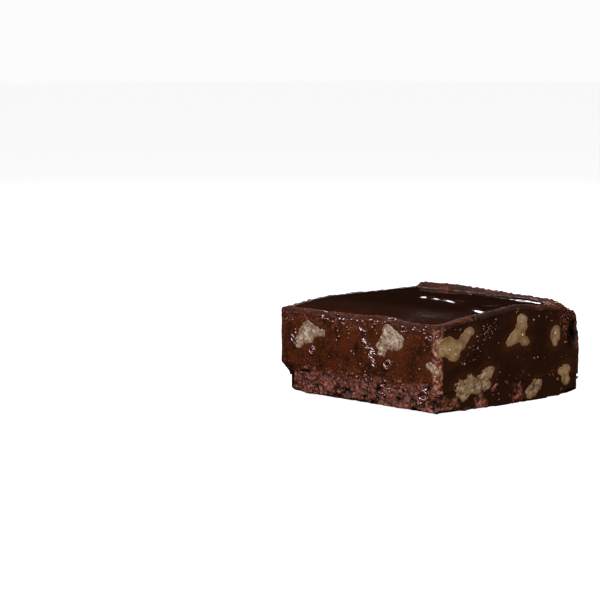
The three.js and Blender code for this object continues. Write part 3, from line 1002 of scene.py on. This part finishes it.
# Painted shade: the darker copy of the side colour for the two darker sides
SHADE_DARK = linear(34, 18, 10)
SHADE_LIGHT = linear(44, 23, 12)
TOP_BROWN = linear(34, 16, 8)
GRIT_DOT = linear(124, 70, 50)
PALE_DARK = linear(60, 25, 12)
PALE_LIGHT = linear(126, 64, 40)
# Pale flecks at the near corner edge, partly pale crumb and partly painted highlights
RAW_FLECK_AND_GLINT = linear(186, 132, 110)
# Painted shade in cracks, creases, crumb gaps and bites
FUDGE_GAP_SHADE = linear(20, 9, 5)

# Colours of the crumb layer: pink grains that are partly painted highlights, pale painted glints, painted
# shade in its gaps and on the two darker sides
CRUMB_DARK = linear(52, 22, 14)
CRUMB_LIGHT = linear(104, 53, 38)
# Pink grains, partly painted highlights
CRUMB_PINK = linear(138, 79, 61)
# Pale painted glints
CRUMB_GLINT = linear(174, 116, 102)
# Painted shade in the crumb's gaps
CRUMB_GAP_SHADE = linear(30, 13, 8)
# Painted shade: the crumb's colour on the two darker sides
CRUMB_SHADE = linear(40, 21, 11)

# Colours of the wet beads, on the lighter sides and a darker copy with painted shade for the darker ones, and
# of oil
BEAD_DARK = linear(62, 29, 15)
BEAD_LIGHT = linear(112, 64, 48)
SHADE_BEAD_DARK = linear(42, 22, 13)
SHADE_BEAD_LIGHT = linear(92, 50, 42)
OIL_TAN = linear(160, 128, 88)

# Colours of the walnut: smooth flesh, grained flesh whose paleness is partly a painted sheen, and what
# darkens them
SMOOTH_DARK = linear(120, 90, 54)
SMOOTH_LIGHT = linear(172, 143, 104)
DRY_SHEEN_DARK = linear(124, 98, 74)
DRY_SHEEN_LIGHT = linear(198, 180, 160)
NUT_FOLD = linear(112, 82, 52)
NUT_FLECK = linear(100, 68, 38)
NUT_PIT = linear(74, 44, 24)
NUT_RIND = linear(98, 60, 24)

# Roughness of the fudge's sides and top, what crumb adds to it and wetness takes away, and of the rest
SIDE_ROUGHNESS = 0.26
TOP_ROUGHNESS = 0.08
CRUMBLY_ROUGHNESS = 0.6
WET_SMOOTHNESS = 0.24
CRUMB_ROUGHNESS = 0.45
CRUMB_SHADE_ROUGHNESS = 0.32
BEAD_ROUGHNESS = 0.16
NUT_ROUGHNESS = 0.45

# Strength of the gloss on fudge and crumb and on the nuts, and the depths of fine relief in metres
CHOCOLATE_GLOSS = 0.12
NUT_GLOSS = 0.35
FUDGE_RELIEF = 0.00024
CRUMB_RELIEF = 0.00025
NUT_RELIEF = 0.0001


class Shader:
    """A material with short ways to add and join nodes."""

    def __init__(self, name):
        self.material = bpy.data.materials.new(name)
        self.material.use_nodes = True
        self.nodes = self.material.node_tree.nodes
        self.links = self.material.node_tree.links
        self.surface = self.nodes["Principled BSDF"]
        self.place = self.nodes.new("ShaderNodeTexCoord").outputs["Object"]

    def attribute(self, name):
        """The value that the mesh holds under a name."""
        node = self.nodes.new("ShaderNodeAttribute")
        node.attribute_name = name
        return node.outputs["Fac"]

    def noise(self, scale, detail=3.0):
        """Random mottle from 0 to 1, with `scale` lumps to the metre."""
        node = self.nodes.new("ShaderNodeTexNoise")
        node.inputs["Scale"].default_value = scale
        node.inputs["Detail"].default_value = detail
        self.links.new(self.place, node.inputs["Vector"])
        return node.outputs["Fac"]

    def spread(self, value, low, high, to_low=0.0, to_high=1.0):
        """A value carried from one range to another, and held inside it."""
        node = self.nodes.new("ShaderNodeMapRange")
        for index, number in enumerate((low, high, to_low, to_high)):
            node.inputs[index + 1].default_value = number
        self.links.new(value, node.inputs[0])
        return node.outputs[0]

    def math(self, kind, first, second):
        """The sum, difference or product of two values."""
        node = self.nodes.new("ShaderNodeMath")
        node.operation = kind
        for socket, value in zip(node.inputs, (first, second)):
            self.feed(socket, value)
        return node.outputs[0]

    def mix(self, factor, first, second):
        """A mix of two colours."""
        node = self.nodes.new("ShaderNodeMix")
        node.data_type = "RGBA"
        for name, value in (("Factor_Float", factor), ("A_Color", first), ("B_Color", second)):
            self.feed(next(s for s in node.inputs if s.identifier == name), value)
        return next(s for s in node.outputs if s.identifier == "Result_Color")

    def bump(self, height, distance):
        """Fine relief of the surface, its depth in metres."""
        node = self.nodes.new("ShaderNodeBump")
        node.inputs["Distance"].default_value = distance
        node.inputs["Strength"].default_value = 1.0
        self.links.new(height, node.inputs["Height"])
        self.links.new(node.outputs["Normal"], self.surface.inputs["Normal"])

    def feed(self, socket, value):
        """Join a socket to another node, or set it to a constant."""
        if isinstance(value, bpy.types.NodeSocket):
            self.links.new(value, socket)
        else:
            socket.default_value = value

    def set(self, name, value):
        """Feed one socket of the surface."""
        self.feed(self.surface.inputs[name], value)


def fudge_material():
    """Dark chocolate: glossy and nearly black on top, lifted near the front edge by a painted reflection,
    red-brown satin on the cut sides with a darker copy on the two darker sides that is painted shade, paler
    where it crumbles, flecked at the raw corner edge with pale crumb and painted highlights, painted shade in
    its cracks, gaps and bites, shinier in the wet tears."""
    s = Shader("fudge")
    mottle = s.spread(s.noise(260.0), 0.35, 0.68)
    side = s.mix(mottle, SIDE_DARK, SIDE_LIGHT)
    side = s.mix(s.spread(s.attribute("drag"), -0.2, 0.9, 0.0, 0.5), side, SIDE_STREAK)
    # Painted shade: the two darker sides take a darker copy of the side colour
    side = s.mix(s.attribute("shade"), side, s.mix(mottle, SHADE_DARK, SHADE_LIGHT))
    side = s.mix(s.spread(s.attribute("stain"), 0.0, 1.0, 0.0, 0.3), side, SIDE_STAIN)
    # The top's dark brown, lifted near the front edge by a painted reflection
    colour = s.mix(s.attribute("top"), side, TOP_BROWN)
    grain = s.spread(s.noise(1700.0), 0.42, 0.62)
    dots = s.math("MULTIPLY", s.spread(s.noise(2300.0, 1.0), 0.56, 0.66, 0.0, 0.65), s.attribute("grit"))
    colour = s.mix(dots, colour, GRIT_DOT)
    pale = s.mix(grain, PALE_DARK, PALE_LIGHT)
    colour = s.mix(s.spread(s.attribute("pale"), 0.1, 0.9), colour, pale)
    # Pale flecks at the near corner edge: partly pale crumb, partly painted highlights
    flecks = s.math("MULTIPLY", s.spread(s.noise(900.0, 2.0), 0.46, 0.6), s.attribute("raw"))
    colour = s.mix(flecks, colour, RAW_FLECK_AND_GLINT)
    # Painted shade darkens the cracks, creases, crumb gaps and bites
    s.set("Base Color", s.mix(s.attribute("hollow_shade"), colour, FUDGE_GAP_SHADE))
    rough = s.spread(s.attribute("gloss"), 0.0, 1.0, SIDE_ROUGHNESS, TOP_ROUGHNESS)
    rough = s.math("ADD", rough, s.math("MULTIPLY", s.attribute("matte"), CRUMBLY_ROUGHNESS))
    shine = s.spread(s.attribute("wet"), 0.0, 1.0, 0.0, WET_SMOOTHNESS)
    s.set("Roughness", s.math("SUBTRACT", rough, shine))
    s.set("Specular IOR Level", CHOCOLATE_GLOSS)
    fine = s.math("MULTIPLY", s.noise(2200.0), s.spread(s.attribute("matte"), 0.0, 0.7))
    s.bump(fine, FUDGE_RELIEF)
    return s.material


def crumb_material():
    """Matte red-brown crumb with pink grains that are partly painted highlights and pale painted glints,
    painted shade in its gaps and on the two darker sides.
    """
    s = Shader("crumb")
    tone = s.mix(s.attribute("number"), CRUMB_DARK, CRUMB_LIGHT)
    # Pink grains, partly painted highlights
    tone = s.mix(s.spread(s.noise(1700.0), 0.47, 0.66, 0.0, 0.85), tone, CRUMB_PINK)
    # Pale painted glints
    tone = s.mix(s.spread(s.noise(1100.0, 1.0), 0.58, 0.68, 0.0, 0.7), tone, CRUMB_GLINT)
    # Painted shade in the crumb's gaps
    tone = s.mix(s.attribute("hollow_shade"), tone, CRUMB_GAP_SHADE)
    # Painted shade on the two darker sides
    s.set("Base Color", s.mix(s.attribute("shade"), tone, CRUMB_SHADE))
    rough = s.spread(s.attribute("shade"), 0.0, 1.0, CRUMB_ROUGHNESS, CRUMB_SHADE_ROUGHNESS)
    s.set("Roughness", rough)
    s.set("Specular IOR Level", CHOCOLATE_GLOSS)
    coarseness = s.spread(s.attribute("shade"), 0.0, 1.0, 1.0, 0.15)
    s.bump(s.math("MULTIPLY", s.noise(2400.0), coarseness), CRUMB_RELIEF)
    return s.material


def bead_material():
    """Wet scraps of fudge, darker on the two darker sides as painted shade, and beads of oil as pale as the
    nuts.
    """
    s = Shader("bead")
    colour = s.mix(s.spread(s.attribute("number"), 0.6, 1.0), BEAD_DARK, BEAD_LIGHT)
    # Painted shade on the darker sides
    dark = s.mix(s.spread(s.attribute("number"), 0.3, 0.8), SHADE_BEAD_DARK, SHADE_BEAD_LIGHT)
    colour = s.mix(s.attribute("shade"), colour, dark)
    s.set("Base Color", s.mix(s.attribute("oil"), colour, OIL_TAN))
    s.set("Roughness", BEAD_ROUGHNESS)
    s.set("IOR", 1.8)
    s.set("Specular Tint", (1.0, 0.86, 0.92, 1.0))
    return s.material


def nut_material():
    """Walnut flesh: tan and smooth, or grained and paler, that paleness partly a painted sheen over all of
    each front and back nut; browner in its folds and pits and at its rim."""
    s = Shader("walnut")
    smooth = s.mix(s.attribute("number"), SMOOTH_DARK, SMOOTH_LIGHT)
    grained = s.mix(s.spread(s.noise(1600.0), 0.38, 0.62), DRY_SHEEN_DARK, DRY_SHEEN_LIGHT)
    # Grained flesh, its paleness partly a painted sheen
    flesh = s.mix(s.attribute("dry_and_sheen"), smooth, grained)
    flesh = s.mix(s.spread(s.attribute("fold"), 0.0, 1.0, 0.0, 0.45), flesh, NUT_FOLD)
    flesh = s.mix(s.spread(s.noise(750.0), 0.6, 0.72, 0.0, 0.55), flesh, NUT_FLECK)
    flesh = s.mix(s.spread(s.attribute("pit"), 0.0, 1.0, 0.0, 0.75), flesh, NUT_PIT)
    s.set("Base Color", s.mix(s.spread(s.attribute("rind"), 0.0, 1.0, 0.0, 0.62), flesh, NUT_RIND))
    s.set("Roughness", NUT_ROUGHNESS)
    s.set("Specular IOR Level", NUT_GLOSS)
    s.set("Subsurface Weight", 0.15)
    s.set("Subsurface Radius", (1.0, 0.6, 0.35))
    s.set("Subsurface Scale", 0.0008)
    s.bump(s.noise(1800.0), NUT_RELIEF)
    return s.material


def from_angles(azimuth, elevation, distance):
    """A point round the origin: azimuth 0 is towards -Y and 90 towards +X, elevation above the horizon."""
    a, e = math.radians(azimuth), math.radians(elevation)
    return Vector((math.sin(a) * math.cos(e), -math.cos(a) * math.cos(e), math.sin(e))) * distance


def add_light(name):
    """A rectangular softbox that looks at the square. It may stay out of reflections, or show only
    there."""
    azimuth, elevation, distance, width, height, power, colour = LIGHTS[name]
    data = bpy.data.lights.new(name, "AREA")
    data.shape = "RECTANGLE"
    data.size = width
    data.size_y = height
    data.energy = power
    data.color = colour
    light = bpy.data.objects.new(name, data)
    light.location = from_angles(azimuth, elevation, distance)
    light.rotation_euler = (LIGHT_AIM - light.location).to_track_quat("-Z", "Y").to_euler()
    light.visible_camera = False
    light.visible_glossy = name not in NEVER_REFLECTED
    light.visible_diffuse = name not in ONLY_REFLECTED
    bpy.context.scene.collection.objects.link(light)


def add_camera():
    """The camera at its angle and distance, turned so that the square's origin falls on its pixel."""
    data = bpy.data.cameras.new("camera")
    data.sensor_width = SENSOR_MM
    data.lens = SENSOR_MM * FOCAL_PIXELS / FRAME_PIXELS
    data.clip_end = 50.0
    camera = bpy.data.objects.new("camera", data)
    camera.location = from_angles(CAMERA_AZIMUTH, CAMERA_ELEVATION, CAMERA_DISTANCE)
    back = camera.location.normalized()
    right = Vector((0, 0, 1)).cross(back).normalized()
    up = back.cross(right)
    per_pixel = CAMERA_DISTANCE / FOCAL_PIXELS
    across = (FRAME_PIXELS / 2 - ORIGIN_PIXEL[0]) * per_pixel
    above = (ORIGIN_PIXEL[1] - FRAME_PIXELS / 2) * per_pixel
    aim = right * across + up * above
    camera.rotation_euler = (aim - camera.location).to_track_quat("-Z", "Y").to_euler()
    bpy.context.scene.collection.objects.link(camera)
    bpy.context.scene.camera = camera


def add_floor():
    """A wide pale floor that the square stands on, left out of its reflections."""
    corners = [(x * FLOOR_HALF, y * FLOOR_HALF, 0.0) for x, y in ((-1, -1), (1, -1), (1, 1), (-1, 1))]
    mesh = bpy.data.meshes.new("floor")
    mesh.from_pydata(corners, [], [(0, 1, 2, 3)])
    s = Shader("floor")
    s.set("Base Color", (0.3, 0.3, 0.3, 1.0))
    s.set("Roughness", 0.9)
    s.set("Emission Color", (1.0, 1.0, 1.0, 1.0))
    s.set("Emission Strength", 0.9)
    mesh.materials.append(s.material)
    floor = bpy.data.objects.new("floor", mesh)
    bpy.context.scene.collection.objects.link(floor)
    floor.visible_glossy = False
    floor.visible_diffuse = False


def add_world():
    """White behind everything the camera sees, dark in reflections, a dim even light for the rest."""
    world = bpy.data.worlds.new("studio")
    world.use_nodes = True
    bpy.context.scene.world = world
    nodes, links = world.node_tree.nodes, world.node_tree.links
    path = nodes.new("ShaderNodeLightPath")
    shown = nodes["Background"]
    shown.inputs["Color"].default_value = (1.0, 0.97, 0.95, 1.0)
    shown.inputs["Strength"].default_value = 0.16
    for ray, level in (("Is Glossy Ray", 0.001), ("Is Camera Ray", 0.97)):
        other = nodes.new("ShaderNodeBackground")
        other.inputs["Color"].default_value = (level, level, level, 1.0)
        mix = nodes.new("ShaderNodeMixShader")
        links.new(path.outputs[ray], mix.inputs[0])
        links.new(shown.outputs[0], mix.inputs[1])
        links.new(other.outputs[0], mix.inputs[2])
        shown = mix
    links.new(shown.outputs[0], nodes["World Output"].inputs["Surface"])


def build():
    """Every piece of the square: its two layers, the walnut pieces, and the small bits on each layer."""
    fudge, crumb, nut = fudge_material(), crumb_material(), nut_material()
    make_piece("fudge_skin", fudge_skin(), fudge, "fudge_slab")
    make_piece("crumb_skin", base_skin(), crumb, "crumb_base")
    for name in NUTS:
        make_piece(name + "_skin", nut_skin(name), nut, name)
    make_piece("crumb_bits", base_crumbs(), crumb, "crumb_base")
    make_piece("fudge_beads", fudge_beads(), bead_material(), "fudge_slab")


def light_and_frame():
    """The studio: floor, surroundings, soft lights and the camera."""
    add_floor()
    add_world()
    for name in LIGHTS:
        add_light(name)
    add_camera()
    bpy.context.scene.view_settings.view_transform = "Standard"


build()
light_and_frame()
